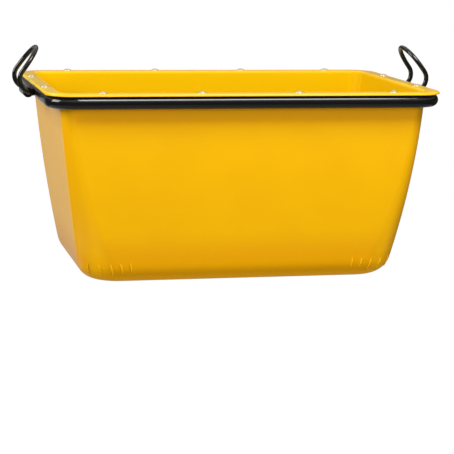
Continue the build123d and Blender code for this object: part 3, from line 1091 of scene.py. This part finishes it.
def weld_tree():
    """Ripples along Y above and below the input's one point."""
    graph, given = start_tree("Weld beads", WELD_SIZES)
    centre = graph.point(given, 0)
    count = given["Ripples"]
    gap = graph.join(0.0, given["Run"] / (count - 1), 0.0)
    joined = graph.add("GeometryNodeJoinGeometry")
    for sign in (-1, 1):
        lift = graph.join(0.0, given["Run"] * -0.5, given["Rise"] * sign)
        start = graph.add("ShaderNodeVectorMath", [centre, lift], operation="ADD")
        sockets = {"Count": count, "Start Location": start, "Offset": gap}
        row = graph.add("GeometryNodeMeshLine", sockets)
        graph.tree.links.new(row.socket, joined.socket.node.inputs[0])
    ball = graph.add("GeometryNodeMeshUVSphere", {"Segments": 14, "Rings": 8, "Radius": 1.0}, "Mesh")
    vary = graph.chance(RIPPLE_LEAST, RIPPLE_MOST, given["Seed"])
    width, length, height = (given[f"Ripple {size}"] for size in ("Width", "Length", "Height"))
    size = graph.join(width * vary, length, height * vary)
    sockets = {"Points": joined, "Instance": ball, "Scale": size}
    return end_tree(graph, graph.add("GeometryNodeInstanceOnPoints", sockets), frame_finish)


welds = weld_tree()
groove_x = (weld_low.x + weld_high.x) / 2
for side, sign in (("left", -1), ("right", 1)):
    spot = line_mesh(f"weld_spot_{side}", [(sign * groove_x, 0.0, pivot.z)])
    dress(baked(f"weld_beads_{side}", spot, welds, WELD_SIZES), "tub", "black_paint", f"sleeve_welds_{side}")

# %% [markdown]
# ## Camera
# The camera stands a little left of the tub's middle and looks slightly down at it with a long lens, as
# in the photograph. Its place and turn were fitted to the rim, the rivets and the outline.

# %% Camera
PHOTO_SIDE = 454
FOCAL_PIXELS = 1775.3
SENSOR = 36.0
CAMERA_PLACE = Vector((-1.0256, -4.5181, 0.9075))
CAMERA_YAW = 0.2271
CAMERA_PITCH = 0.1741
CAMERA_ROLL = 0.0185

lens = bpy.data.cameras.new("photo_camera")
lens.sensor_width = SENSOR
lens.lens = SENSOR * FOCAL_PIXELS / PHOTO_SIDE
ahead = Vector((sin(CAMERA_YAW), cos(CAMERA_YAW), 0.0))
forward = ahead * cos(CAMERA_PITCH) - Vector((0.0, 0.0, sin(CAMERA_PITCH)))
level = Vector((cos(CAMERA_YAW), -sin(CAMERA_YAW), 0.0))
upright = level.cross(forward)
right = level * cos(CAMERA_ROLL) + upright * sin(CAMERA_ROLL)
up = upright * cos(CAMERA_ROLL) - level * sin(CAMERA_ROLL)
turn = Matrix((right, up, -forward)).transposed().to_4x4()
camera = new_object("photo_camera", lens)
camera.matrix_world = Matrix.Translation(CAMERA_PLACE) @ turn
scene.camera = camera
print("camera lens", round(lens.lens, 1), "mm")

# %% [markdown]
# ## Studio
# The tub hangs clear of a pale floor in front of white. A large soft lamp high in front lights the flange
# and leaves the shade under the tube, and a second one lights the left end. The world adds a soft fill,
# strongest low in front. Light Path tells apart what the world is asked for: a shiny surface sees a pale
# back, a dim front and a white top, which keeps the yellow deep and draws the pale left end, and the
# camera sees plain white.

# %% World
scene.view_settings.view_transform = "Standard"
SKY_FILL = 0.42
FRONT_FILL = 1.2
GROUND_FILL = 0.18
WHITE = (1.0, 1.0, 1.0, 1.0)
PALE_MIRRORED = 0.36
DIM_MIRRORED = 0.06
# Masks over the Y and Z parts of a ray's direction
SKY_FROM = (-0.1, 0.3)
LOW_FROM = (-0.20, 0.0)
LOW_TO = (0.25, 0.50)
FRONT_FROM = (0.2, 0.7)
BACK_FROM = (0.76, 0.93)
LEVEL_FROM = (-0.06, 0.04)
TOP_FROM = (0.25, 0.60)


def studio_world():
    world = bpy.data.worlds.new("studio")
    scene.world = world
    world.use_nodes = True
    world.node_tree.nodes.clear()
    graph = Graph(world.node_tree)
    ray = graph.split(graph.add("ShaderNodeTexCoord", (), "Generated"))
    depth, rise = ray["Y"], ray["Z"]
    low_band = graph.step(rise, *LOW_FROM) * (1 - graph.step(rise, *LOW_TO))
    fill = GROUND_FILL + graph.step(rise, *SKY_FROM) * (SKY_FILL - GROUND_FILL)
    fill = fill + low_band * graph.step(0 - depth, *FRONT_FROM) * FRONT_FILL
    mirrored = DIM_MIRRORED + graph.step(depth, *BACK_FROM) * (PALE_MIRRORED - DIM_MIRRORED)
    mirrored = mirrored * (1 - graph.step(rise, *LEVEL_FROM) * 0.5)
    mirrored = mirrored + graph.step(rise, *TOP_FROM) * (1 - mirrored)
    path = graph.add("ShaderNodeLightPath")
    through = (path["Is Glossy Ray"] + path["Is Transmission Ray"]).at_most(1.0)
    level = fill + through * (mirrored - fill)
    level = level + path["Is Camera Ray"] * (1 - level)
    back = graph.add("ShaderNodeBackground", {"Color": WHITE, "Strength": level})
    graph.add("ShaderNodeOutputWorld", {"Surface": back})


studio_world()
print("world light", SKY_FILL, "above and", FRONT_FILL, "low in front")

# %% Floor
FLOOR_DROP = 0.9
FLOOR_RADIUS = 2.6
FLOOR_FADE = 0.6
FLOOR_GREY = (0.38, 0.38, 0.38, 1.0)
FLOOR_WHITE = 1.1
FLOOR_BEHIND = (0.3, 1.2)


def pale_floor():
    material, graph = new_material("pale_floor")
    place = graph.place()
    reach = graph.add("ShaderNodeVectorMath", [place], "Value", operation="LENGTH")
    path = graph.add("ShaderNodeLightPath")
    behind = graph.step(graph.split(place)["Y"], *FLOOR_BEHIND)
    through = (path["Is Glossy Ray"] + path["Is Transmission Ray"]) * behind * PALE_MIRRORED
    matt = graph.add("ShaderNodeBsdfDiffuse", {"Color": FLOOR_GREY})
    white = graph.add("ShaderNodeEmission", {"Strength": FLOOR_WHITE})
    share = (path["Is Camera Ray"] * 0.9 + through).at_most(1.0)
    shown = graph.add("ShaderNodeMixShader", [share, matt, white])
    gone = graph.add("ShaderNodeBsdfTransparent")
    edge = graph.step(reach, FLOOR_RADIUS - FLOOR_FADE, FLOOR_RADIUS)
    shown = graph.add("ShaderNodeMixShader", [edge, shown, gone])
    graph.add("ShaderNodeOutputMaterial", {"Surface": shown})
    return material


floor_shape = bmesh.new()
bmesh.ops.create_circle(floor_shape, cap_ends=True, radius=FLOOR_RADIUS, segments=96)
floor_mesh = bpy.data.meshes.new("studio_floor")
floor_shape.to_mesh(floor_mesh)
floor_shape.free()
floor_mesh.materials.append(pale_floor())
floor = new_object("studio_floor", floor_mesh)
floor.location.z = -FLOOR_DROP
print("floor", FLOOR_DROP, "m below the tub")

# %% Lamps
# Place and size in metres, power in watts
LAMPS = {
    "key_lamp": ((0.42, -1.48, 2.44), (1.45, 0.95), 72.5),
    "left_lamp": ((-2.7, -0.3, 1.5), (1.4, 1.2), 62.0),
}
AIM = Vector((0.0, 0.0, 0.30))
for name, (place, (width, depth), power) in LAMPS.items():
    lamp = bpy.data.lights.new(name, "AREA")
    lamp.shape = "RECTANGLE"
    lamp.size = width
    lamp.size_y = depth
    lamp.energy = power
    holder = new_object(name, lamp)
    holder.location = place
    holder.rotation_euler = (AIM - Vector(place)).to_track_quat("-Z", "Y").to_euler()
print(len(LAMPS), "lamps")
